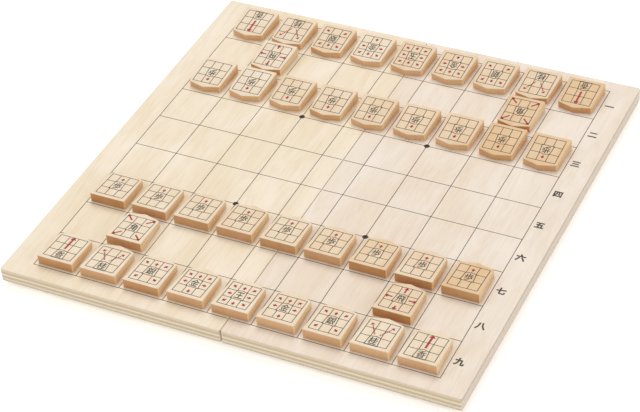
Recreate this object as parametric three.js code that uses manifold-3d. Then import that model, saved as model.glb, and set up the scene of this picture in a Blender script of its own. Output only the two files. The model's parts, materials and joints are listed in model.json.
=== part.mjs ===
// A folding wooden shogi board with its forty pieces set out for play.
// Two plywood halves meet at a seam through the middle file. They fold back to back on two butt
// hinges let into the underside, and stand on four rubber feet.
// Millimetres, +Z up. The near player sits on the -Y side. The origin is on the table, under the
// middle of the board.

import * as THREE from 'three';
import { mergeVertices } from 'three/addons/utils/BufferGeometryUtils.js';
import Module from 'manifold-3d';

// Playing pieces, thinner towards the head
const pieceBaseWidth = 24.9;
const pieceShoulderWidth = 22.8;
const pieceLength = 28.8;
const pieceHeadLength = 3;
const pieceBaseThickness = 6.7;
const pieceHeadThickness = 4.3;
const pieceCornerRadius = 0.9;
const pieceEase = 0.4;

// Squares, and the room around a piece that stands in the middle of one
const squaresAcross = 9;
const sidePlay = 2.55;
const forwardPlay = 1.6;

// Board, with the margins around its squares
const sideMargin = 17.5;
const frontMargin = 11.4;
const backMargin = 10.6;
const boardThickness = 9.4;
const seamGap = 0.3;
const panelCornerRadius = 1.5;
const panelEase = 0.25;

// Butt hinges
const hingeInset = 55;
const leafLength = 22;
const leafReach = 10;
const leafThickness = 1;
const leafCornerRadius = 1;
const barrelRadius = 1.6;
const pivotDrop = 0.4;
const pinRadius = 0.8;
const pinClearance = 0.1;
const knuckleGap = 0.3;
const pocketClearance = 0.3;

// Hinge screws
const screwLength = 6;
const screwShankRadius = 0.85;
const screwHeadRadius = 1.7;
const screwHeadHeight = 0.85;
const screwTipLength = 1.2;
const screwInset = 4.5;
const screwReach = 6;
const screwClearance = 0.15;

// Feet, just tall enough to keep the hinge barrels off the table
const barrelLift = 0.4;
const footRadius = 5;
const footEase = 0.6;
const footInset = 12;

// Fineness of round shapes, and how far a cutter runs past what it cuts
const roundSteps = 20;
const cornerSteps = 3;
const pieceCornerSteps = 1;
const cutOverrun = 1;

// Sizes, heights and places that follow from the sizes above
const squareWidth = pieceBaseWidth + 2 * sidePlay;
const squareDepth = pieceLength + 2 * forwardPlay;
const gridWidth = squaresAcross * squareWidth;
const gridDepth = squaresAcross * squareDepth;
const gridMiddle = (frontMargin - backMargin) / 2;
const boardWidth = gridWidth + 2 * sideMargin;
const boardDepth = gridDepth + frontMargin + backMargin;
const panelWidth = (boardWidth - seamGap) / 2;
const footHeight = barrelRadius + pivotDrop + barrelLift;
const undersideHeight = footHeight;
const playingHeight = undersideHeight + boardThickness;
const pivotHeight = undersideHeight - pivotDrop;
const boreRadius = pinRadius + pinClearance;
const knuckleLength = (leafLength - 2 * knuckleGap) / 3;
const plateStart = barrelRadius + pocketClearance;

const halves = { left: -1, right: 1 };
const hingePlaces = { front: hingeInset - boardDepth / 2, back: boardDepth / 2 - hingeInset };
const screwFromMiddle = leafLength / 2 - screwInset;
const screwPlaces = { near: -screwFromMiddle, far: screwFromMiddle };

const materials = {
  panel_left: new THREE.MeshStandardMaterial({ color: 0xead3ae, roughness: 0.62, metalness: 0 }),
  panel_right: new THREE.MeshStandardMaterial({ color: 0xead0b2, roughness: 0.62, metalness: 0 }),
  piece: new THREE.MeshStandardMaterial({ color: 0xe9c894, roughness: 0.55, metalness: 0 }),
  brass: new THREE.MeshStandardMaterial({ color: 0xc9a75a, roughness: 0.35, metalness: 1 }),
  rubber: new THREE.MeshStandardMaterial({ color: 0x4a4540, roughness: 0.85, metalness: 0 }),
};

const group = new THREE.Group();

function addTo(parent, name, geometry, material, x, y, z) {
  const mesh = new THREE.Mesh(geometry, material);
  mesh.name = name;
  mesh.position.set(x, y, z);
  parent.add(mesh);
  return mesh;
}

// Solids that cut and join. Triangles that close up to a line at a pole are dropped.
const wasm = await Module();
wasm.setup();

function solidOf(geometry) {
  geometry.deleteAttribute('normal');
  geometry.deleteAttribute('uv');
  const merged = mergeVertices(geometry);
  const triangles = [];
  for (let i = 0; i < merged.index.count; i += 3) {
    const [a, b, c] = merged.index.array.slice(i, i + 3);
    if (a !== b && b !== c && c !== a) triangles.push(a, b, c);
  }
  const vertProperties = new Float32Array(merged.attributes.position.array);
  const triVerts = new Uint32Array(triangles);
  return new wasm.Manifold(new wasm.Mesh({ numProp: 3, vertProperties, triVerts }));
}

function geometryOf(solid) {
  const mesh = solid.getMesh();
  const geometry = new THREE.BufferGeometry();
  geometry.setAttribute('position', new THREE.BufferAttribute(mesh.vertProperties, 3));
  geometry.setIndex(new THREE.BufferAttribute(mesh.triVerts, 1));
  geometry.computeVertexNormals();
  return geometry;
}

function boxSolid(x0, x1, y0, y1, z0, z1) {
  const box = new THREE.BoxGeometry(x1 - x0, y1 - y0, z1 - z0);
  box.translate((x0 + x1) / 2, (y0 + y1) / 2, (z0 + z1) / 2);
  return solidOf(box);
}

// A closed outline through the corners, each rounded off within the given reach
function roundedShape(corners, reach) {
  const points = corners.map(([x, y]) => new THREE.Vector2(x, y));
  const shape = new THREE.Shape();
  points.forEach((corner, i) => {
    const before = points[(i + points.length - 1) % points.length];
    const after = points[(i + 1) % points.length];
    const entry = before.clone().sub(corner).setLength(reach).add(corner);
    const exit = after.clone().sub(corner).setLength(reach).add(corner);
    if (i === 0) shape.moveTo(entry.x, entry.y);
    else shape.lineTo(entry.x, entry.y);
    shape.quadraticCurveTo(corner.x, corner.y, exit.x, exit.y);
  });
  return shape;
}

function roundedRectangle(x0, x1, y0, y1, reach) {
  return roundedShape([[x0, y0], [x1, y0], [x1, y1], [x0, y1]], reach);
}

// A slab that stands on z = 0, with its upper and lower edges eased
function easedSlab(shape, thickness, ease, curveSegments) {
  const slab = new THREE.ExtrudeGeometry(shape, {
    depth: thickness - 2 * ease,
    bevelThickness: ease,
    bevelSize: ease,
    bevelOffset: -ease,
    bevelSegments: 1,
    curveSegments,
  });
  return slab.translate(0, 0, ease);
}

// A shape turned about the Z axis from its [radius, height] outline
function turned(outline) {
  const points = outline.map(([radius, height]) => new THREE.Vector2(radius, height));
  return new THREE.LatheGeometry(points, roundSteps).rotateX(Math.PI / 2);
}

// Hinges. Their parts are drawn on the right-hand half, up from the plane of the underside.
function mirroredTo(side, solid) {
  return side < 0 ? solid.mirror([1, 0, 0]) : solid;
}

function barGeometry(radius, length) {
  return new THREE.CylinderGeometry(radius, radius, length, roundSteps);
}

function barSolid(radius, y0, y1) {
  return solidOf(barGeometry(radius, y1 - y0).translate(0, (y0 + y1) / 2, -pivotDrop));
}

// The head lies flush with the leaf's lower face, and the screw points up
function screwOutline(clearance, tipLength) {
  return [
    [0, 0],
    [screwHeadRadius + clearance, 0],
    [screwShankRadius + clearance, screwHeadHeight],
    [screwShankRadius + clearance, screwLength - tipLength],
    [0, screwLength],
  ];
}

function screwHole(y) {
  return solidOf(turned(screwOutline(screwClearance, 0)).translate(screwReach, y, 0));
}

// The left leaf has the two outer knuckles, and the right leaf has the middle one
function leafSolid(side) {
  const halfLength = leafLength / 2;
  const outline = roundedRectangle(plateStart, leafReach, -halfLength, halfLength, leafCornerRadius);
  const plate = { depth: leafThickness, bevelEnabled: false, curveSegments: cornerSteps };
  let leaf = solidOf(new THREE.ExtrudeGeometry(outline, plate));
  const knuckles = side < 0 ? [0, 2] : [1];
  for (const knuckle of knuckles) {
    const y0 = -halfLength + knuckle * (knuckleLength + knuckleGap);
    const y1 = y0 + knuckleLength;
    const arm = boxSolid(0, plateStart + leafCornerRadius, y0, y1, 0, leafThickness);
    leaf = leaf.add(arm).add(barSolid(barrelRadius, y0, y1));
  }
  leaf = leaf.subtract(barSolid(boreRadius, -leafLength, leafLength));
  for (const y of Object.values(screwPlaces)) leaf = leaf.subtract(screwHole(y));
  return mirroredTo(side, leaf);
}

// Plywood halves, each with a pocket, a barrel notch and screw holes for every hinge
function panelSolid(side) {
  const inner = seamGap / 2;
  const halfDepth = boardDepth / 2;
  const outline = roundedRectangle(inner, inner + panelWidth, -halfDepth, halfDepth, panelCornerRadius);
  let panel = solidOf(easedSlab(outline, boardThickness, panelEase, cornerSteps));
  const pocketHalf = leafLength / 2 + pocketClearance;
  const pocketReach = leafReach + pocketClearance;
  const notchTop = barrelRadius - pivotDrop + pocketClearance;
  for (const place of Object.values(hingePlaces)) {
    const y0 = place - pocketHalf;
    const y1 = place + pocketHalf;
    panel = panel.subtract(boxSolid(0, pocketReach, y0, y1, -cutOverrun, leafThickness));
    panel = panel.subtract(boxSolid(0, plateStart, y0, y1, -cutOverrun, notchTop));
    for (const y of Object.values(screwPlaces)) panel = panel.subtract(screwHole(place + y));
  }
  return mirroredTo(side, panel);
}

const screw = turned(screwOutline(0, screwTipLength));
const foot = turned([
  [0, 0],
  [footRadius - footEase, 0],
  [footRadius, footEase],
  [footRadius, footHeight],
  [0, footHeight],
]);

for (const [half, side] of Object.entries(halves)) {
  const panel = `panel_${half}`;
  addTo(group, panel, geometryOf(panelSolid(side)), materials[panel], 0, 0, undersideHeight);
  const leaf = geometryOf(leafSolid(side));
  for (const [hinge, place] of Object.entries(hingePlaces)) {
    addTo(group, `hinge_${hinge}_leaf_${half}`, leaf, materials.brass, 0, place, undersideHeight);
    for (const [end, y] of Object.entries(screwPlaces)) {
      const name = `hinge_${hinge}_screw_${half}_${end}`;
      addTo(group, name, screw, materials.brass, side * screwReach, place + y, undersideHeight);
    }
    const footX = side * (boardWidth / 2 - footInset);
    const footY = Math.sign(place) * (boardDepth / 2 - footInset);
    addTo(group, `foot_${hinge}_${half}`, foot, materials.rubber, footX, footY, 0);
  }
}

const pin = barGeometry(pinRadius, leafLength);
for (const [hinge, place] of Object.entries(hingePlaces)) {
  addTo(group, `hinge_${hinge}_pin`, pin, materials.brass, 0, place, pivotHeight);
}

// Playing pieces: five-sided wedges that point to +Y, drawn about the middle of their length
function pieceGeometry() {
  const rear = -pieceLength / 2;
  const shoulder = rear + pieceLength - pieceHeadLength;
  const outline = roundedShape([
    [-pieceBaseWidth / 2, rear],
    [pieceBaseWidth / 2, rear],
    [pieceShoulderWidth / 2, shoulder],
    [0, rear + pieceLength],
    [-pieceShoulderWidth / 2, shoulder],
  ], pieceCornerRadius);
  const slab = easedSlab(outline, pieceBaseThickness, pieceEase, pieceCornerSteps);
  const fall = (pieceBaseThickness - pieceHeadThickness) / pieceLength;
  const position = slab.attributes.position;
  for (let i = 0; i < position.count; i += 1) {
    const z = position.getZ(i);
    if (z > pieceBaseThickness / 2) position.setZ(i, z - fall * (position.getY(i) - rear));
  }
  slab.computeVertexNormals();
  return slab;
}

// One army's rows from its own edge of the board, each from its owner's left. Null is an empty square.
const backRow = ['lance', 'knight', 'silver', 'gold', 'king', 'gold', 'silver', 'knight', 'lance'];
const secondRow = [null, 'bishop', null, null, null, null, null, 'rook', null];
const frontRow = backRow.map(() => 'pawn');
const rows = [backRow, secondRow, frontRow];

const headings = { near: 0, far: Math.PI };
const wedge = pieceGeometry();

for (const [army, heading] of Object.entries(headings)) {
  const camp = new THREE.Group();
  camp.position.set(0, gridMiddle, playingHeight);
  camp.rotation.z = heading;
  group.add(camp);
  rows.forEach((kinds, rank) => {
    const rowMiddle = (squareDepth - gridDepth) / 2 + rank * squareDepth;
    kinds.forEach((kind, file) => {
      if (kind === null) return;
      const squareMiddle = (squareWidth - gridWidth) / 2 + file * squareWidth;
      addTo(camp, `${army}_${kind}_${file + 1}`, wedge, materials.piece, squareMiddle, rowMiddle, 0);
    });
  });
}

export default group;
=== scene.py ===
# The looks of a folding wooden shogi board with its forty pieces set out for play.
# Metres, +Z up. The near player sits on the -Y side. The origin is on the table, below the board.

import json
import math

import bmesh
import bpy
from mathutils import Matrix, Quaternion, Vector


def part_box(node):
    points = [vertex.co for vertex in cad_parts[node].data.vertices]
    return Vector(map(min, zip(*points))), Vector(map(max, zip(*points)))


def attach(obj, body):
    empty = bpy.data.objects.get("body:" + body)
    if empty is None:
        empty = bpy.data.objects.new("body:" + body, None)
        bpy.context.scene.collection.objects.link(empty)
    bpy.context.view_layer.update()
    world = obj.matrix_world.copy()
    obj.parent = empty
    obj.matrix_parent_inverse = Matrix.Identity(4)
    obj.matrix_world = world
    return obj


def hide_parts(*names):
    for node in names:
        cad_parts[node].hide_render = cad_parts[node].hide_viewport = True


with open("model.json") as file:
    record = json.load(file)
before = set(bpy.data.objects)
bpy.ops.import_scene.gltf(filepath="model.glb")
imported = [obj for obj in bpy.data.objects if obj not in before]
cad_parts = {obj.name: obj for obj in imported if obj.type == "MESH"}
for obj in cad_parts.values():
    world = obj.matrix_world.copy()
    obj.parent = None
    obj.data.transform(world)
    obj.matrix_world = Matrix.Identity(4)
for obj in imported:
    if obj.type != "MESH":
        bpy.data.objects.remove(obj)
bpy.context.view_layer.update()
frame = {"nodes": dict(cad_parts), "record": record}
bodies = frame["record"]["behaviour"]["bodies"]
MM = 0.001

# Cuts take points this close to the plane as on it, and points this close together are merged
CUT_THRESHOLD = 0.001 * MM
MERGE_DISTANCE = 0.002 * MM

# A direction counts as upright, a face as level and a face as part of a playing piece's top, when
# its share along Z is larger than this
UPRIGHT = 0.99
LEVEL = 0.9
TOP_SIDE = 0.4

# Playing pieces
PIECE_BASE_WIDTH = 24.9 * MM
PIECE_SHOULDER_WIDTH = 22.8 * MM
PIECE_LENGTH = 28.8 * MM
PIECE_HEAD_LENGTH = 3 * MM
PIECE_BASE_THICKNESS = 6.7 * MM
PIECE_HEAD_THICKNESS = 4.3 * MM
PIECE_CORNER_RADIUS = 0.9 * MM
PIECE_EASE = 0.42 * MM
EASE_FACETS = 3
PIECE_SMOOTH_ANGLE = math.radians(40)

# Corners of a playing piece's node that differ less than this in height are equally high
CORNER_TOLERANCE = 0.01 * MM

# How far a piece's tone drifts across it, on a scale from cream, 0, to tan, 1
TONE_DRIFT = 0.16

# The ruled card of three by three cells on a playing piece, and its marks
CARD_WIDTH = 19.1 * MM
CARD_LENGTH = 21.7 * MM
CARD_INSET = 2.75 * MM
CARD_LINE = 0.44 * MM
SIGN_LINE = 0.48 * MM
SIGN_SIZE = 5.7 * MM
SIGN_STRETCH = 1.24
STEP_LENGTH = 2.9 * MM
STEP_HEAD = 2.8 * MM
ARROW_SHAFT = 1.1 * MM
ARROW_HEAD = 3.3 * MM
DOT_LENGTH = 0.88 * MM
DOT_STEP = 1.25 * MM

# Shares of an arrow head's width: its length, and how far before its tip the shaft ends
ARROW_HEAD_SHARE = 0.62
ARROW_SHAFT_STOP = 0.4

# Ruling of the board. Each half is ruled from its outer line inwards, which leaves the squares on
# the seam a little narrower. The stars are on a line counted from the outer one, and are so many
# squares from the middle.
SQUARES = 9
SQUARE_WIDTH = 30 * MM
SQUARE_DEPTH = 32 * MM
GRID_MIDDLE = 0.4 * MM
GRID_LINE = 0.44 * MM
OUTER_LINE = 134.8 * MM
LINE_STEP = 30.03 * MM
STAR_RADIUS = 1.9 * MM
STAR_CORNERS = 24
STAR_LINE = 3
STAR_STEP = 1.5
RANK_NUMERALS = "一二三四五六七八九"
RANK_SIZE = 6.2 * MM
RANK_PLACE = 140 * MM
RANK_BOLDNESS = 0.28 * MM
FILE_SIZE = 6.4 * MM
FILE_PLACE = 147.4 * MM

# How far the ruling keeps from the panels' eased edges along the seam
SEAM_MARGIN = 0.45 * MM

# Ink stands a hair proud of the wood, and reaches as far into it
INK_HEIGHT = 0.03 * MM

# A character's body stands this share of its size above the middle of its line of text
LETTER_RISE = 0.06
LETTER_FACETS = 3

# Plywood
PLAYING_HEIGHT = 11.8 * MM
BOARD_THICKNESS = 9.4 * MM

# Its plies from the playing face down: how far each reaches as a share of the thickness, its
# colour on the players' edges, and its colour on the side edges
PLIES = [
    (0.035, "#ecdecb", "#dacdbf"), (0.2, "#dfceb4", "#bdb1a2"), (0.36, "#cebb9c", "#d5c8ba"),
    (0.53, "#ebdec8", "#d9ccc0"), (0.69, "#ccb99b", "#d4c8bb"), (0.86, "#e6dac6", "#d9cdc2"),
    (1, "#cfbfa5", "#d0c5b8"),
]
GLUE_SHARE = 0.01
PLY_WAVER = 0.012

# Hinge screws
SCREW_HEAD_RADIUS = 1.7 * MM
SCREW_HEAD_HEIGHT = 0.85 * MM
SCREW_SHANK_RADIUS = 0.85 * MM
SCREW_SHANK_LENGTH = 3.95 * MM
SCREW_TIP_LENGTH = 1.2 * MM
SCREW_TIP_SHARE = 0.12
SCREW_CORNERS = 24
CROSS_WIDTH = 0.5 * MM
CROSS_REACH = 0.95 * MM
CROSS_DEPTH = 0.5 * MM
SCREW_SMOOTH_ANGLE = math.radians(30)

# The cross of each screw is turned this much further than the one before
SCREW_TURN = math.radians(37)

# The camera, worked out from the ruled squares of the photograph, which is 640 by 412 pixels
CAMERA_PLACE = Vector((474, -890.4, 820.5)) * MM
CAMERA_AIM = Vector((6, -30.7, 11.8)) * MM
CAMERA_ROLL = math.radians(4.94)
CAMERA_LENS = 114.4
CAMERA_SENSOR = 36

FLOOR_SIZE = 8


def linear(colour):
    """An sRGB hex colour as linear red, green, blue and full alpha."""
    parts = [int(colour[i:i + 2], 16) / 255 for i in (1, 3, 5)]
    return tuple(p / 12.92 if p <= 0.04045 else ((p + 0.055) / 1.055) ** 2.4 for p in parts) + (1,)


def add_node(tree, kind, inputs=None, settings=None, stops=None):
    """Adds a node with its settings and links.

    An input may be a value, a socket, or a whole node that stands for its first output in use.
    """
    node = tree.nodes.new(f"ShaderNode{kind}")
    for name, value in (settings or {}).items():
        setattr(node, name, value)
    if stops:
        elements = node.color_ramp.elements
        while len(elements) < len(stops):
            elements.new(1)
        for element, (place, colour) in zip(elements, stops):
            element.position = place
            is_grey = not isinstance(colour, str)
            element.color = (colour, colour, colour, 1) if is_grey else linear(colour)
    for name, value in (inputs or {}).items():
        if isinstance(value, bpy.types.Node):
            value = next(output for output in value.outputs if output.enabled)
        if isinstance(value, bpy.types.NodeSocket):
            tree.links.new(value, node.inputs[name])
        else:
            node.inputs[name].default_value = value
    return node


def start_material(name):
    """A new material and its empty node tree."""
    material = bpy.data.materials.new(name)
    material.use_nodes = True
    material.node_tree.nodes.clear()
    return material, material.node_tree


def spaced(*millimetres):
    """The scale of a pattern that repeats about every so many millimetres along X, Y and Z."""
    return [1 / (length * MM) for length in millimetres]


# Inputs 0, 6 and 7 of a colour mix are its share, its first and its second colour
COLOUR_MIX = {"data_type": "RGBA"}
MULTIPLY = {"operation": "MULTIPLY"}
ADD = {"operation": "ADD"}
ABSOLUTE = {"operation": "ABSOLUTE"}
EXCEEDS = {"operation": "GREATER_THAN"}


def ply_stops(column, glue):
    """The stops of a ramp that runs down through the plies, with a thin glue line after each."""
    stops = []
    start = 0
    for ply in PLIES:
        stops += [(start, ply[column]), (ply[0] - GLUE_SHARE, glue)]
        start = ply[0]
    return stops[:-1]


# Rotary-cut birch plywood, sanded and thinly varnished: pale, with faint long clouds, fine
# streaks along Y that come and go, and short pores. Its edges show light long-grained plies
# between dark end-grained ones, and which is which changes round a corner.
def birch_plywood(name, pale, warm, streak):
    material, tree = start_material(name)
    where = add_node(tree, "TexCoord")
    place = where.outputs["Object"]

    cloud_place = add_node(tree, "Mapping", {"Vector": place, "Scale": spaced(26, 70, 30)})
    clouds = add_node(tree, "TexNoise", {
        "Vector": cloud_place, "Scale": 1, "Detail": 4, "Roughness": 0.55, "Distortion": 0.8})
    face = add_node(tree, "ValToRGB", {"Fac": clouds}, stops=[(0.35, pale), (0.65, warm)])
    figure_place = add_node(tree, "Mapping", {"Vector": place, "Scale": spaced(7, 95, 9)})
    figure = add_node(tree, "TexNoise", {
        "Vector": figure_place, "Scale": 1, "Detail": 3, "Roughness": 0.6, "Distortion": 1.4})
    figure_share = add_node(tree, "ValToRGB", {"Fac": figure}, stops=[
        (0.5, 0), (0.56, 0.22), (0.66, 0)])
    face = add_node(tree, "Mix", {0: figure_share, 6: face, 7: linear(streak)}, COLOUR_MIX)
    streak_place = add_node(tree, "Mapping", {"Vector": place, "Scale": spaced(0.9, 15, 3)})
    streaks = add_node(tree, "TexNoise", {
        "Vector": streak_place, "Scale": 1, "Detail": 4, "Roughness": 0.6, "Distortion": 0.3})
    streak_depth = add_node(tree, "ValToRGB", {"Fac": streaks}, stops=[(0.45, 0), (0.72, 0.34)])
    streak_patches = add_node(tree, "ValToRGB", {"Fac": clouds}, stops=[(0.38, 0.25), (0.62, 1)])
    streak_share = add_node(tree, "Math", {0: streak_depth, 1: streak_patches}, MULTIPLY)
    face = add_node(tree, "Mix", {0: streak_share, 6: face, 7: linear(streak)}, COLOUR_MIX)
    pore_place = add_node(tree, "Mapping", {"Vector": place, "Scale": spaced(0.35, 3.2, 1)})
    pores = add_node(tree, "TexNoise", {"Vector": pore_place, "Scale": 1, "Detail": 2})
    pore_share = add_node(tree, "ValToRGB", {"Fac": pores}, stops=[(0.64, 0), (0.74, 0.2)])
    face = add_node(tree, "Mix", {0: pore_share, 6: face, 7: linear(streak)}, COLOUR_MIX)

    height = add_node(tree, "SeparateXYZ", {0: place}).outputs["Z"]
    depth = add_node(tree, "MapRange", {
        "Value": height, "From Min": PLAYING_HEIGHT, "From Max": PLAYING_HEIGHT - BOARD_THICKNESS})
    waver_place = add_node(tree, "Mapping", {"Vector": place, "Scale": spaced(14, 14, 40)})
    waver = add_node(tree, "TexNoise", {"Vector": waver_place, "Scale": 1, "Detail": 2})
    waver_depth = add_node(tree, "MapRange", {
        "Value": waver, "From Min": 0.3, "From Max": 0.7, "To Min": -PLY_WAVER,
        "To Max": PLY_WAVER})
    ply_depth = add_node(tree, "Math", {0: depth, 1: waver_depth}, ADD)
    front_plies = add_node(tree, "ValToRGB", {"Fac": ply_depth}, stops=ply_stops(1, "#b9a585"))
    side_plies = add_node(tree, "ValToRGB", {"Fac": ply_depth}, stops=ply_stops(2, "#a99883"))
    for plies in (front_plies, side_plies):
        plies.color_ramp.interpolation = "CONSTANT"
    facing = add_node(tree, "SeparateXYZ", {0: where.outputs["Normal"]})
    sideways = add_node(tree, "Math", {0: facing.outputs["X"]}, ABSOLUTE)
    frontways = add_node(tree, "Math", {0: facing.outputs["Y"]}, ABSOLUTE)
    upwards = add_node(tree, "Math", {0: facing.outputs["Z"]}, ABSOLUTE)
    on_side = add_node(tree, "Math", {0: sideways, 1: frontways}, EXCEEDS)
    edge = add_node(tree, "Mix", {0: on_side, 6: front_plies, 7: side_plies}, COLOUR_MIX)
    tick_place = add_node(tree, "Mapping", {"Vector": place, "Scale": spaced(0.7, 0.7, 1.6)})
    ticks = add_node(tree, "TexNoise", {
        "Vector": tick_place, "Scale": 1, "Detail": 3, "Roughness": 0.6})
    tick_share = add_node(tree, "ValToRGB", {"Fac": ticks}, stops=[(0.5, 0), (0.8, 0.35)])
    edge = add_node(tree, "Mix", {0: tick_share, 6: edge, 7: linear("#bfa880")}, COLOUR_MIX)
    fibre_place = add_node(tree, "Mapping", {"Vector": place, "Scale": spaced(7, 7, 0.16)})
    fibres = add_node(tree, "TexNoise", {"Vector": fibre_place, "Scale": 1, "Detail": 2})
    fibre_share = add_node(tree, "ValToRGB", {"Fac": fibres}, stops=[(0.45, 0), (0.75, 0.3)])
    edge = add_node(tree, "Mix", {0: fibre_share, 6: edge, 7: linear("#b8a684")}, COLOUR_MIX)

    on_face = add_node(tree, "Math", {0: upwards, 1: 0.5}, EXCEEDS)
    colour = add_node(tree, "Mix", {0: on_face, 6: edge, 7: face}, COLOUR_MIX)
    polish = add_node(tree, "ValToRGB", {"Fac": streaks}, stops=[(0.3, 0.5), (0.7, 0.62)])
    pore_relief = add_node(tree, "Math", {0: pores, 1: 0.6}, MULTIPLY)
    grain = add_node(tree, "Math", {0: streaks, 1: pore_relief}, ADD)
    relief = add_node(tree, "Bump", {"Height": grain, "Distance": 0.05 * MM, "Strength": 0.25})
    shader = add_node(tree, "BsdfPrincipled", {
        "Base Color": colour, "Roughness": polish, "IOR": 1.5, "Specular IOR Level": 0.35,
        "Normal": relief})
    add_node(tree, "OutputMaterial", {"Surface": shader})
    return material


# Sanded birch of the playing pieces. Each piece has its own tone, from cream to tan, and the tone
# of its flanks and ends also holds painted shade. Its faces differ: pale flat grain above, straight
# streaks on the flanks, dense warm end grain.
def piece_birch(name, pale, tan, streak, grain_spacing, streak_strength, pore_spacing,
                pore_strength):
    material, tree = start_material(name)
    place = add_node(tree, "TexCoord").outputs["Object"]
    tone = add_node(tree, "Attribute", settings={"attribute_name": "tone"}).outputs["Fac"]
    cloud_place = add_node(tree, "Mapping", {"Vector": place, "Scale": spaced(9, 16, 9)})
    clouds = add_node(tree, "TexNoise", {
        "Vector": cloud_place, "Scale": 1, "Detail": 3, "Distortion": 0.5})
    cloud_tone = add_node(tree, "MapRange", {
        "Value": clouds, "From Min": 0.3, "From Max": 0.7, "To Min": -TONE_DRIFT,
        "To Max": TONE_DRIFT})
    mottled_tone = add_node(tree, "Math", {0: tone, 1: cloud_tone}, ADD)
    colour = add_node(tree, "ValToRGB", {"Fac": mottled_tone}, stops=[(0, pale), (1, tan)])
    grain_place = add_node(tree, "Mapping", {"Vector": place, "Scale": spaced(*grain_spacing)})
    grain = add_node(tree, "TexNoise", {
        "Vector": grain_place, "Scale": 1, "Detail": 4, "Roughness": 0.6, "Distortion": 0.2})
    streak_share = add_node(tree, "ValToRGB", {"Fac": grain}, stops=[
        (0.42, 0), (0.74, streak_strength)])
    colour = add_node(tree, "Mix", {0: streak_share, 6: colour, 7: linear(streak)}, COLOUR_MIX)
    pore_place = add_node(tree, "Mapping", {"Vector": place, "Scale": spaced(*pore_spacing)})
    pores = add_node(tree, "TexNoise", {"Vector": pore_place, "Scale": 1, "Detail": 2})
    pore_share = add_node(tree, "ValToRGB", {"Fac": pores}, stops=[(0.6, 0), (0.72, pore_strength)])
    colour = add_node(tree, "Mix", {0: pore_share, 6: colour, 7: linear(streak)}, COLOUR_MIX)
    polish = add_node(tree, "ValToRGB", {"Fac": grain}, stops=[(0.3, 0.48), (0.7, 0.62)])
    relief = add_node(tree, "Bump", {"Height": grain, "Distance": 0.04 * MM, "Strength": 0.3})
    shader = add_node(tree, "BsdfPrincipled", {
        "Base Color": colour, "Roughness": polish, "IOR": 1.5, "Specular IOR Level": 0.35,
        "Normal": relief})
    add_node(tree, "OutputMaterial", {"Surface": shader})
    return material


# Screen-printing ink on wood: matt, and a little starved where the grain takes it up.
def printing_ink(name, full, starved):
    material, tree = start_material(name)
    place = add_node(tree, "TexCoord").outputs["Object"]
    patch_place = add_node(tree, "Mapping", {"Vector": place, "Scale": spaced(0.8, 3, 2)})
    patches = add_node(tree, "TexNoise", {
        "Vector": patch_place, "Scale": 1, "Detail": 3, "Roughness": 0.6})
    colour = add_node(tree, "ValToRGB", {"Fac": patches}, stops=[(0.4, full), (0.92, starved)])
    polish = add_node(tree, "ValToRGB", {"Fac": patches}, stops=[(0.3, 0.5), (0.7, 0.7)])
    shader = add_node(tree, "BsdfPrincipled", {
        "Base Color": colour, "Roughness": polish, "IOR": 1.5})
    add_node(tree, "OutputMaterial", {"Surface": shader})
    return material


# Brass sheet and wire, pressed, tumbled and slightly tarnished: brown clouds over yellow metal,
# with fine scuffs that spread its shine.
def pressed_brass(name):
    material, tree = start_material(name)
    place = add_node(tree, "TexCoord").outputs["Object"]
    tarnish_place = add_node(tree, "Mapping", {"Vector": place, "Scale": spaced(5, 5, 5)})
    tarnish = add_node(tree, "TexNoise", {
        "Vector": tarnish_place, "Scale": 1, "Detail": 4, "Roughness": 0.6})
    colour = add_node(tree, "ValToRGB", {"Fac": tarnish}, stops=[
        (0.35, "#d9b968"), (0.7, "#b08d4a")])
    scuff_place = add_node(tree, "Mapping", {"Vector": place, "Scale": spaced(0.3, 2.5, 0.3)})
    scuffs = add_node(tree, "TexNoise", {"Vector": scuff_place, "Scale": 1, "Detail": 2})
    polish = add_node(tree, "ValToRGB", {"Fac": scuffs}, stops=[(0.3, 0.24), (0.7, 0.42)])
    relief = add_node(tree, "Bump", {"Height": scuffs, "Distance": 0.02 * MM, "Strength": 0.3})
    shader = add_node(tree, "BsdfPrincipled", {
        "Base Color": colour, "Metallic": 1, "Roughness": polish, "Normal": relief})
    add_node(tree, "OutputMaterial", {"Surface": shader})
    return material


# Moulded rubber of the feet: dark and matt, with a fine leathery skin and a grey bloom.
def moulded_rubber(name):
    material, tree = start_material(name)
    place = add_node(tree, "TexCoord").outputs["Object"]
    bloom_place = add_node(tree, "Mapping", {"Vector": place, "Scale": spaced(3, 3, 3)})
    bloom = add_node(tree, "TexNoise", {"Vector": bloom_place, "Scale": 1, "Detail": 3})
    colour = add_node(tree, "ValToRGB", {"Fac": bloom}, stops=[(0.35, "#4b453f"), (0.7, "#5d574f")])
    polish = add_node(tree, "ValToRGB", {"Fac": bloom}, stops=[(0.3, 0.72), (0.7, 0.85)])
    skin_place = add_node(tree, "Mapping", {"Vector": place, "Scale": spaced(0.25, 0.25, 0.25)})
    skin = add_node(tree, "TexNoise", {"Vector": skin_place, "Scale": 1, "Detail": 3})
    relief = add_node(tree, "Bump", {"Height": skin, "Distance": 0.03 * MM, "Strength": 0.4})
    shader = add_node(tree, "BsdfPrincipled", {
        "Base Color": colour, "Roughness": polish, "IOR": 1.52, "Normal": relief})
    add_node(tree, "OutputMaterial", {"Surface": shader})
    return material


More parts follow.
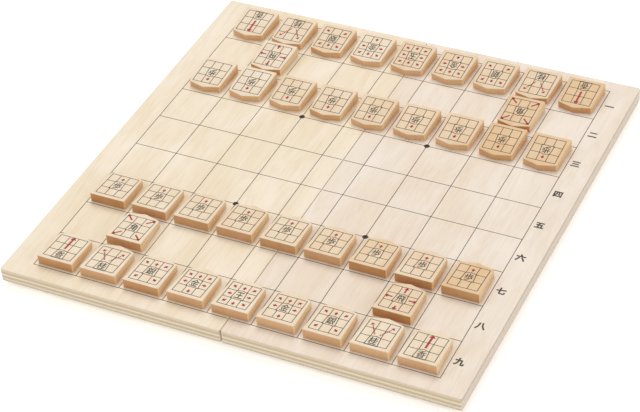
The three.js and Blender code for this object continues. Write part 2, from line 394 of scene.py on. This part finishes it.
plywood_left = birch_plywood("birch_plywood_left", "#eee3d2", "#e8dac1", "#d6c2a2")
plywood_right = birch_plywood("birch_plywood_right", "#ebe1d6", "#e5d7c6", "#d3c0aa")
piece_face = piece_birch(
    "birch_face", "#eaddc8", "#ddbb90", "#cea97e", (0.5, 9, 2), 0.22, (0.25, 2, 1), 0.15)
piece_flank = piece_birch(
    "birch_flank", "#f4dab4", "#e0b07c", "#c9976a", (2, 12, 0.45), 0.4, (1, 2.4, 0.22), 0.3)
piece_end = piece_birch(
    "birch_end_grain", "#e9bf92", "#c68f59", "#ac764a", (0.4, 2, 0.4), 0.45, (0.22, 1, 0.22), 0.4)
black_ink = printing_ink("black_printing_ink", "#2b2a24", "#4d493d")
red_ink = printing_ink("red_printing_ink", "#a3262c", "#b84a45")
board_ink = printing_ink("board_printing_ink", "#2f2c28", "#5a5348")
brass = pressed_brass("pressed_brass")
rubber = moulded_rubber("moulded_rubber")


def start_object(add_primitive, **where):
    """Adds a primitive with nothing else selected, and opens it in edit mode."""
    bpy.ops.object.select_all(action="DESELECT")
    add_primitive(**where)
    bpy.ops.object.transform_apply(location=True, rotation=True, scale=True)
    bpy.ops.object.mode_set(mode="EDIT")
    return bpy.context.object


def select_edges(wanted):
    """Selects just the edges that the test wants, in edge mode."""
    bpy.ops.mesh.select_mode(type="EDGE")
    bpy.ops.mesh.select_all(action="DESELECT")
    mesh = bpy.context.object.data
    edges = bmesh.from_edit_mesh(mesh)
    for edge in edges.edges:
        edge.select = wanted(edge)
    edges.select_flush_mode()
    bmesh.update_edit_mesh(mesh)


def select_faces(wanted):
    """Selects just the faces that the test wants, in face mode."""
    bpy.ops.mesh.select_mode(type="FACE")
    bpy.ops.mesh.select_all(action="DESELECT")
    mesh = bpy.context.object.data
    faces = bmesh.from_edit_mesh(mesh)
    for face in faces.faces:
        face.select_set(wanted(face))
    bmesh.update_edit_mesh(mesh)


def cut_off(point, normal):
    """Cuts away what lies beyond a plane and closes the cut."""
    bpy.ops.mesh.select_all(action="SELECT")
    bpy.ops.mesh.bisect(
        plane_co=point, plane_no=Vector(normal).normalized(), threshold=CUT_THRESHOLD,
        use_fill=True, clear_outer=True)


def tidy_mesh():
    """Merges doubles and turns every face outwards, then leaves edit mode."""
    bpy.ops.mesh.select_all(action="SELECT")
    bpy.ops.mesh.remove_doubles(threshold=MERGE_DISTANCE)
    bpy.ops.mesh.normals_make_consistent(inside=False)
    bpy.ops.object.mode_set(mode="OBJECT")


def join(parts):
    """Joins the parts into the first one."""
    bpy.ops.object.select_all(action="DESELECT")
    for part in parts:
        part.select_set(True)
    bpy.context.view_layer.objects.active = parts[0]
    bpy.ops.object.join()
    return parts[0]


# Printed marks are drawn flat about the origin, up to one ink height above and below it.
def stroke(start, end, width):
    """A straight printed line in the open mark, square at its ends."""
    run = Vector(end) - Vector(start)
    middle = (Vector(start) + Vector(end)) / 2
    bpy.ops.mesh.primitive_cube_add(
        size=1, location=(middle.x, middle.y, 0), rotation=(0, 0, math.atan2(run.y, run.x)),
        scale=(run.length, width, 2 * INK_HEIGHT))


def arrow(start, end, shaft, head):
    """An arrow in the open mark: a shaft of one width, and a three-cornered head of another."""
    start, end = Vector(start), Vector(end)
    way = (end - start).normalized()
    stroke(start, end - way * head * ARROW_SHAFT_STOP, shaft)
    # The middle of a triangle is two thirds of its length from the tip, and one of even sides is
    # half the root of three as long as it is wide
    middle = end - way * head * ARROW_HEAD_SHARE * 2 / 3
    bpy.ops.mesh.primitive_cylinder_add(
        vertices=3, radius=head / math.sqrt(3), depth=2 * INK_HEIGHT,
        location=(middle.x, middle.y, 0),
        rotation=(0, 0, math.atan2(way.y, way.x) - math.pi / 2),
        scale=(1, ARROW_HEAD_SHARE * 2 / math.sqrt(3), 1))


def dot(middle, radius):
    """A round printed dot in the open mark."""
    bpy.ops.mesh.primitive_cylinder_add(
        vertices=STAR_CORNERS, radius=radius, depth=2 * INK_HEIGHT,
        location=(middle[0], middle[1], 0))


def letter(body, size, boldness, middle, ink, stretch=1):
    """One printed character as a closed thin solid, centred by its body and not by its strokes."""
    bpy.ops.object.select_all(action="DESELECT")
    bpy.ops.object.text_add()
    text = bpy.context.object
    text.data.body = body
    text.data.size = size
    text.data.extrude = INK_HEIGHT
    text.data.offset = boldness
    text.data.resolution_u = LETTER_FACETS
    text.data.align_x = "CENTER"
    text.data.align_y = "CENTER"
    bpy.ops.object.convert(target="MESH")
    text = bpy.context.object
    bpy.ops.object.mode_set(mode="EDIT")
    tidy_mesh()
    text.location = (middle[0], middle[1] - LETTER_RISE * size * stretch, 0)
    text.scale.y = stretch
    bpy.ops.object.transform_apply(location=True, rotation=True, scale=True)
    text.data.materials.clear()
    text.data.materials.append(ink)
    return text


def start_mark(ink):
    """Opens an empty object in edit mode for strokes of one ink."""
    mark = start_object(bpy.ops.mesh.primitive_plane_add, size=1)
    bpy.ops.mesh.delete(type="VERT")
    mark.data.materials.append(ink)
    return mark


# A point on a card is (column, row) in cells, from the middle of its middle cell
CELL_WIDTH = CARD_WIDTH / 3
CELL_LENGTH = CARD_LENGTH / 3
CARD_MIDDLE = CARD_INSET + (CARD_LENGTH - PIECE_LENGTH) / 2
CARD_HALF = 1.5

# The outline of a small playing piece round a sign, from the middle of the sign. The lines across
# the card end at its shoulders.
SIGN_SHOULDER = 0.53
SIGN_OUTLINE = [
    (-0.64, -0.54), (0.64, -0.54), (SIGN_SHOULDER, 0.5), (0, 0.63), (-SIGN_SHOULDER, 0.5)]

# The arrow of a step lies in the cell it leads to, a little further out, and further yet at the
# back. A leap runs in dots from the middle cell into a front corner, and its head is larger.
STEP_SPREAD = 1.02
BACK_SPREAD = 1.15
LEAP_START = (0.26, -0.19)
LEAP_END = (1.13, 1.13)
LEAP_HEAD_SHARE = 1.1
LEAP_SHAFT_SHARE = 0.7

# Marks on the playing pieces. Boldness widens a sign's strokes on each side, by no more than keeps
# them apart. A low sign is in the card's last row. Steps are cells next to the piece, runs are
# arrows from point to point, which the weight makes bolder, and leaps are sides, -1 for the left.
AHEAD = [(-1, 1), (0, 1), (1, 1)]
ASIDE = [(-1, 0), (1, 0)]
BACK = [(0, -1)]
BACK_CORNERS = [(-1, -1), (1, -1)]
MARKS = {
    "pawn": {"sign": "歩", "boldness": 0.07 * MM, "steps": [(0, 1)]},
    "lance": {
        "sign": "香", "boldness": 0.04 * MM, "low": True, "weight": 1.3,
        "runs": [((0, -0.18), (0, 1.56))]},
    "knight": {"sign": "桂", "boldness": 0.07 * MM, "low": True, "leaps": [-1, 1]},
    "silver": {"sign": "銀", "boldness": 0.06 * MM, "steps": AHEAD + BACK_CORNERS},
    "gold": {"sign": "金", "boldness": 0.05 * MM, "steps": AHEAD + ASIDE + BACK},
    "bishop": {"sign": "角", "boldness": 0.08 * MM, "runs": [
        ((x * 0.78, y * 0.88), (x * 1.54, y * 1.52)) for x in (-1, 1) for y in (-1, 1)]},
    "rook": {"sign": "飛", "boldness": 0.07 * MM, "runs": [
        ((0, 0.79), (0, 1.52)), ((0, -1.02), (0, -1.56)),
        ((-0.8, 0), (-1.6, 0)), ((0.8, 0), (1.6, 0))]},
    "near_king": {
        "sign": "王", "boldness": 0.09 * MM, "steps": AHEAD + ASIDE + BACK + BACK_CORNERS},
    "far_king": {
        "sign": "玉", "boldness": 0.09 * MM, "steps": AHEAD + ASIDE + BACK + BACK_CORNERS},
}


def cell_place(column, row):
    """A point on the card, measured in cells from its middle."""
    return Vector((column * CELL_WIDTH, CARD_MIDDLE + row * CELL_LENGTH))


def card_lines(row):
    """The card's ruling, which ends at the outline of the sign in the given row."""
    for edge in (-CARD_HALF, CARD_HALF):
        stroke(cell_place(edge, -CARD_HALF), cell_place(edge, CARD_HALF), CARD_LINE)
        stroke(cell_place(-CARD_HALF, edge), cell_place(CARD_HALF, edge), CARD_LINE)
    for line in (-0.5, 0.5):
        for start, end in ((-CARD_HALF, row - 0.5), (row + 0.5, CARD_HALF)):
            if end > start:
                stroke(cell_place(line, start), cell_place(line, end), CARD_LINE)
        if line in (row - 0.5, row + 0.5):
            stroke(cell_place(-CARD_HALF, line), cell_place(-SIGN_SHOULDER, line), CARD_LINE)
            stroke(cell_place(SIGN_SHOULDER, line), cell_place(CARD_HALF, line), CARD_LINE)
        else:
            stroke(cell_place(-CARD_HALF, line), cell_place(CARD_HALF, line), CARD_LINE)


def sign_outline(row):
    """The outline round the sign in the given row."""
    places = [cell_place(x, row + y) for x, y in SIGN_OUTLINE]
    for start, end in zip(places, places[1:] + places[:1]):
        reach = (end - start).normalized() * SIGN_LINE / 2
        stroke(start - reach, end + reach, SIGN_LINE)


def move_arrows(marks):
    """Red arrows that show how the piece moves."""
    for column, row in marks.get("steps", []):
        row_spread = BACK_SPREAD if (column, row) in BACK else 1
        middle = cell_place(column * STEP_SPREAD, row * row_spread)
        way = Vector((column, row)).normalized() * STEP_LENGTH / 2
        arrow(middle - way, middle + way, ARROW_SHAFT, STEP_HEAD)
    weight = marks.get("weight", 1)
    for start, end in marks.get("runs", []):
        arrow(cell_place(*start), cell_place(*end), ARROW_SHAFT * weight, ARROW_HEAD * weight)
    for side in marks.get("leaps", []):
        start = cell_place(side * LEAP_START[0], LEAP_START[1])
        end = cell_place(side * LEAP_END[0], LEAP_END[1])
        way = (end - start).normalized()
        for i in range(int((end - start).length / DOT_STEP) - 1):
            near = start + way * i * DOT_STEP
            stroke(near, near + way * DOT_LENGTH, DOT_LENGTH)
        shaft_start = end - way * STEP_HEAD * LEAP_SHAFT_SHARE
        arrow(shaft_start, end, DOT_LENGTH, STEP_HEAD * LEAP_HEAD_SHARE)


def piece_marks(marks):
    """The card, the sign and the arrows of one kind of piece, laid on its sloping top."""
    row = -1 if marks.get("low") else 0
    black = start_mark(black_ink)
    card_lines(row)
    sign_outline(row)
    tidy_mesh()
    red = start_mark(red_ink)
    move_arrows(marks)
    tidy_mesh()
    sign = letter(
        marks["sign"], SIGN_SIZE, marks["boldness"], cell_place(0, row), black_ink, SIGN_STRETCH)
    print_on_top = join([black, red, sign])
    slope = math.atan2(PIECE_BASE_THICKNESS - PIECE_HEAD_THICKNESS, PIECE_LENGTH)
    print_on_top.rotation_euler.x = -slope
    print_on_top.location.z = (PIECE_BASE_THICKNESS + PIECE_HEAD_THICKNESS) / 2
    bpy.ops.object.transform_apply(location=True, rotation=True, scale=True)
    return print_on_top


def piece_block():
    """A five-sided wedge that points to +Y and stands on z = 0, with eased corners and edges."""
    block = start_object(
        bpy.ops.mesh.primitive_cube_add, size=1, location=(0, 0, PIECE_BASE_THICKNESS / 2),
        scale=(PIECE_BASE_WIDTH, PIECE_LENGTH, PIECE_BASE_THICKNESS))
    rear = -PIECE_LENGTH / 2
    shoulder = rear + PIECE_LENGTH - PIECE_HEAD_LENGTH
    taper = (PIECE_BASE_WIDTH - PIECE_SHOULDER_WIDTH) / 2
    for side in (-1, 1):
        cut_off((side * PIECE_BASE_WIDTH / 2, rear, 0), (side * (shoulder - rear), taper, 0))
        cut_off((0, -rear, 0), (side * PIECE_HEAD_LENGTH, PIECE_SHOULDER_WIDTH / 2, 0))
    fall = PIECE_BASE_THICKNESS - PIECE_HEAD_THICKNESS
    cut_off((0, rear, PIECE_BASE_THICKNESS), (0, fall, PIECE_LENGTH))

    def at_corner(edge):
        return abs((edge.verts[0].co - edge.verts[1].co).normalized().z) > UPRIGHT

    def round_face(edge):
        return len({abs(face.normal.z) > LEVEL for face in edge.link_faces}) == 2

    select_edges(at_corner)
    bpy.ops.mesh.bevel(offset=PIECE_CORNER_RADIUS, segments=EASE_FACETS, affect="EDGES")
    select_edges(round_face)
    bpy.ops.mesh.bevel(offset=PIECE_EASE, segments=EASE_FACETS, affect="EDGES")
    tidy_mesh()
    for material in (piece_face, piece_flank, piece_end):
        block.data.materials.append(material)
    for face in block.data.polygons:
        across, along, up = (abs(part) for part in face.normal)
        if up > TOP_SIDE:
            face.material_index = 0
        elif across > along:
            face.material_index = 1
        else:
            face.material_index = 2
    bpy.ops.object.shade_smooth_by_angle(angle=PIECE_SMOOTH_ANGLE)
    return block


def stance(node):
    """Where a playing piece stands, with +Y turned the way it points, from its node's corners."""
    corners = [v.co.copy() for v in frame["nodes"][node].data.vertices]
    highest = max(c.z for c in corners)
    rear = [c for c in corners if highest - c.z < CORNER_TOLERANCE]
    across = max((b - a for a in rear for b in rear), key=lambda run: run.length).normalized()
    across.z = 0
    forward = Vector((-across.y, across.x, 0)).normalized()
    if sum((c - rear[0]).dot(forward) for c in corners) < 0:
        forward = -forward
    right = Vector((forward.y, -forward.x, 0))
    along = [c.dot(forward) for c in corners]
    sideways = [c.dot(right) for c in corners]
    middle = forward * (min(along) + max(along)) / 2 + right * (min(sideways) + max(sideways)) / 2
    middle.z = min(c.z for c in corners)
    turn = Matrix((right, forward, Vector((0, 0, 1)))).transposed()
    return Matrix.Translation(middle) @ turn.to_4x4()


# Each piece's tone from cream, 0, to tan, 1, from its owner's left: first of its top, then of
# its end grain, where the tone also holds painted shade, most of all on the ends of the bishops
# and rooks, which face a piece close in front. They follow the pieces in the photograph.
TOP_TONES = {
    "near_back": [0.1, 0.1, 0.1, 0.1, 0.1, 0.2, 0.2, 0.1, 0.2],
    "near_second": [0, 0.1, 0, 0, 0, 0, 0, 0.5, 0],
    "near_pawn": [0.2, 0.2, 0.3, 0.4, 0.3, 0.5, 0.6, 0.4, 0.9],
    "far_back": [0.9, 0.5, 0.5, 0.5, 0.5, 0.1, 0.4, 0.3, 0.2],
    "far_second": [0, 0.8, 0, 0, 0, 0, 0, 0.1, 0],
    "far_pawn": [0.8, 1, 0.6, 0.5, 0.5, 0.4, 0.4, 0.1, 0.1],
}
# The end tones hold painted shade besides the wood's own tone, darkest where an end faces a piece
# close in front
END_TONES_AND_SHADE = {
    "near_back": [0.7, 0.3, 0.7, 0.4, 0.4, 0, 0.2, 0, 0.2],
    "near_second": [0, 0.5, 0, 0, 0, 0, 0, 1, 0],
    "near_pawn": [0.9, 0.5, 0.6, 0.5, 0.6, 0.4, 0.9, 0.9, 0.7],
    "far_back": [0.7, 0.6, 0, 0.1, 0.1, 0, 0.4, 0.2, 0.1],
    "far_second": [0, 1, 0, 0, 0, 0, 0, 0.7, 0],
    "far_pawn": [0.4, 0.5, 0.1, 0.1, 0.1, 0.4, 0.1, 0, 0.2],
}
ROWS = {"pawn": "pawn", "bishop": "second", "rook": "second"}

# The flanks take after the end grain, painted shade and all. Each row's shift is painted shade on
# its flanks: the far player's back row and pawns are a little darker, the bishops and rooks
# lighter.
FLANK_SHARE = 0.5
FLANK_SHADE_SHIFTS = {
    "near_back": 0, "near_second": -0.1, "near_pawn": 0,
    "far_back": 0.3, "far_second": -0.5, "far_pawn": 0.3,
}


def colour_faces(piece, row, file):
    """Stores the tone of each face, which depends on whether it is the top, a flank or an end.
    The tones of the flanks and ends also hold painted shade.
    """
    end = END_TONES_AND_SHADE[row][file]
    # A flank's tone is half its end's tone and painted shade, moved by its row's painted shade
    # shift
    flank = FLANK_SHARE * end + FLANK_SHADE_SHIFTS[row]
    tones = [TOP_TONES[row][file], flank, end]
    tone = piece.data.attributes.new("tone", "FLOAT", "FACE")
    # The faces of the marks have a higher index, but ink doesn't read the tone
    tone.data.foreach_set("value", [tones[face.material_index % 3] for face in piece.data.polygons])


def set_out_pieces():
    """Every playing piece, each a copy of its kind set where the frame has it."""
    block = piece_block()
    kinds = {}
    for kind, marks in MARKS.items():
        copy = block.copy()
        copy.data = block.data.copy()
        bpy.context.scene.collection.objects.link(copy)
        kinds[kind] = join([copy, piece_marks(marks)])
    for body, nodes in bodies.items():
        for node in nodes:
            # A playing piece's node is named army_kind_file, and other names are skipped
            army, kind, file = (node.split("_") + ["", ""])[:3]
            if army not in ("near", "far"):
                continue
            model = kinds[kind if kind in kinds else f"{army}_{kind}"]
            piece = bpy.data.objects.new(f"{node}_piece", model.data.copy())
            piece.data.transform(stance(node))
            bpy.context.scene.collection.objects.link(piece)
            colour_faces(piece, f"{army}_{ROWS.get(kind, 'back')}", int(file) - 1)
            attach(piece, body)
            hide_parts(node)
    for used_up in [block, *kinds.values()]:
        bpy.data.objects.remove(used_up)


def board_print(side):
    """Ruling, star points and numerals of one half: side is -1 for the left and 1 for the right."""
    inner_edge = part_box("panel_right")[0].x if side > 0 else -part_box("panel_left")[1].x
    seam = inner_edge + SEAM_MARGIN
    half_depth = SQUARES * SQUARE_DEPTH / 2
    mark = start_mark(board_ink)
    for line in range(SQUARES // 2 + 1):
        x = side * (OUTER_LINE - line * LINE_STEP)
        stroke((x, GRID_MIDDLE - half_depth), (x, GRID_MIDDLE + half_depth), GRID_LINE)
    for line in range(SQUARES + 1):
        y = GRID_MIDDLE + line * SQUARE_DEPTH - half_depth
        stroke((side * seam, y), (side * (OUTER_LINE + GRID_LINE / 2), y), GRID_LINE)
    star_x = side * (OUTER_LINE - STAR_LINE * LINE_STEP)
    for end in (-1, 1):
        dot((star_x, GRID_MIDDLE + end * STAR_STEP * SQUARE_DEPTH), STAR_RADIUS)
    tidy_mesh()
    letters = []
    for file in range(SQUARES):
        x = (file - (SQUARES - 1) / 2) * SQUARE_WIDTH
        if x * side >= 0:
            letters.append(letter(
                str(SQUARES - file), FILE_SIZE, 0, (x, GRID_MIDDLE + FILE_PLACE), board_ink))
        # The middle numeral stands across the seam, so each half takes its share of it
        if x == 0:
            bpy.ops.object.mode_set(mode="EDIT")
            cut_off((side * seam, 0, 0), (-side, 0, 0))
            tidy_mesh()
    if side > 0:
        for rank, numeral in enumerate(RANK_NUMERALS):
            y = GRID_MIDDLE + ((SQUARES - 1) / 2 - rank) * SQUARE_DEPTH
            letters.append(letter(numeral, RANK_SIZE, RANK_BOLDNESS, (RANK_PLACE, y), board_ink))
    printed = join([mark, *letters])
    printed.location.z = PLAYING_HEIGHT
    bpy.ops.object.transform_apply(location=True, rotation=True, scale=True)
    printed.name = "board_print_right" if side > 0 else "board_print_left"
    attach(printed, "right_half" if side > 0 else "left_half")


def hinge_screw():
    """A countersunk screw that points up from z = 0, with a cross recess in its head."""
    screw = start_object(
        bpy.ops.mesh.primitive_cone_add, vertices=SCREW_CORNERS, radius1=SCREW_HEAD_RADIUS,
        radius2=SCREW_SHANK_RADIUS, depth=SCREW_HEAD_HEIGHT, location=(0, 0, SCREW_HEAD_HEIGHT / 2))
    select_faces(lambda face: face.normal.z > UPRIGHT)
    bpy.ops.mesh.extrude_region_move(TRANSFORM_OT_translate={"value": (0, 0, SCREW_SHANK_LENGTH)})
    bpy.ops.mesh.extrude_region_move(TRANSFORM_OT_translate={"value": (0, 0, SCREW_TIP_LENGTH)})
    bpy.ops.transform.resize(value=(SCREW_TIP_SHARE, SCREW_TIP_SHARE, 1))
    for axis in (Vector((1, 0, 0)), Vector((0, 1, 0))):
        for cut in (-CROSS_REACH, -CROSS_WIDTH / 2, CROSS_WIDTH / 2, CROSS_REACH):
            select_faces(lambda face: face.normal.z < -UPRIGHT)
            bpy.ops.mesh.bisect(plane_co=axis * cut, plane_no=axis, threshold=CUT_THRESHOLD)

    def in_cross(face):
        near, far = sorted(abs(part) for part in face.calc_center_median()[:2])
        return face.normal.z < -UPRIGHT and near < CROSS_WIDTH / 2 and far < CROSS_REACH

    select_faces(in_cross)
    bpy.ops.mesh.extrude_region_move(TRANSFORM_OT_translate={"value": (0, 0, CROSS_DEPTH)})
    tidy_mesh()
    screw.data.materials.append(brass)
    bpy.ops.object.shade_smooth_by_angle(angle=SCREW_SMOOTH_ANGLE)
    return screw


def drive_screws():
    """A screw in each hinge hole, each turned its own way."""
    model = hinge_screw()
    turn = 0
    for body, nodes in bodies.items():
        for node in nodes:
            if "_screw_" not in node:
                continue
            low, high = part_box(node)
            turn += SCREW_TURN
            screw = bpy.data.objects.new(f"{node}_cross_head", model.data.copy())
            place = Matrix.Translation(((low.x + high.x) / 2, (low.y + high.y) / 2, low.z))
            screw.data.transform(place @ Matrix.Rotation(turn, 4, "Z"))
            bpy.context.scene.collection.objects.link(screw)
            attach(screw, body)
            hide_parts(node)
    bpy.data.objects.remove(model)


def dress(nodes, material):
    """Gives CAD nodes one material."""
    for node in nodes:
        mesh = frame["nodes"][node].data
        mesh.materials.clear()
        mesh.materials.append(material)


dress(["panel_left"], plywood_left)
dress(["panel_right"], plywood_right)
dress([name for name in frame["nodes"] if name.startswith("hinge_")], brass)
dress([name for name in frame["nodes"] if name.startswith("foot_")], rubber)
drive_screws()
board_print(-1)
board_print(1)
set_out_pieces()


def studio():
    """A pale floor, a bright soft surround and a large soft light high behind the board."""
    floor_material, tree = start_material("pale_floor")
    place = add_node(tree, "TexCoord").outputs["Object"]
    mottle_place = add_node(tree, "Mapping", {"Vector": place, "Scale": spaced(200, 200, 200)})
    mottle = add_node(tree, "TexNoise", {"Vector": mottle_place, "Scale": 1, "Detail": 2})
    colour = add_node(tree, "ValToRGB", {"Fac": mottle}, stops=[(0, "#fafaf8"), (1, "#f6f6f4")])
    shader = add_node(tree, "BsdfPrincipled", {
        "Base Color": colour, "Roughness": 0.9, "Emission Color": linear("#ffffff"),
        "Emission Strength": 0.3})
    add_node(tree, "OutputMaterial", {"Surface": shader})
    bpy.ops.object.select_all(action="DESELECT")
    bpy.ops.mesh.primitive_plane_add(size=FLOOR_SIZE, location=(0, 0, 0))
    floor = bpy.context.object
    floor.name = "floor"
    floor.data.materials.append(floor_material)

    world = bpy.data.worlds.new("studio_surround")
    world.use_nodes = True
    background = world.node_tree.nodes["Background"]
    background.inputs["Color"].default_value = linear("#fffdfa")
    background.inputs["Strength"].default_value = 0.6
    bpy.context.scene.world = world

    def softbox(name, place, size, power, colour):
        light = bpy.data.lights.new(name, "AREA")
        light.shape = "DISK"
        light.size = size
        light.energy = power
        light.color = linear(colour)[:3]
        lamp = bpy.data.objects.new(name, light)
        lamp.location = place
        lamp.rotation_euler = (CAMERA_AIM - Vector(place)).to_track_quat("-Z", "Y").to_euler()
        bpy.context.scene.collection.objects.link(lamp)

    softbox("key_softbox", place=(-1.1, 2.75, 4.25), size=3.2, power=108, colour="#fffbf5")
    softbox("left_softbox", place=(-1.4, -0.4, 1.2), size=1, power=6, colour="#ffffff")
    softbox("right_softbox", place=(1.6, -0.4, 0.9), size=1.2, power=5.5, colour="#fff9f4")


def aim_camera():
    """A camera that stands and looks as the photograph's did."""
    lens = bpy.data.cameras.new("photo_camera")
    lens.lens = CAMERA_LENS
    lens.sensor_width = CAMERA_SENSOR
    camera = bpy.data.objects.new("photo_camera", lens)
    camera.location = CAMERA_PLACE
    look = (CAMERA_AIM - CAMERA_PLACE).to_track_quat("-Z", "Y")
    roll = Quaternion((0, 0, 1), -CAMERA_ROLL)
    camera.rotation_euler = (look @ roll).to_euler()
    bpy.context.scene.collection.objects.link(camera)
    bpy.context.scene.camera = camera


studio()
aim_camera()
bpy.context.scene.view_settings.view_transform = "Standard"
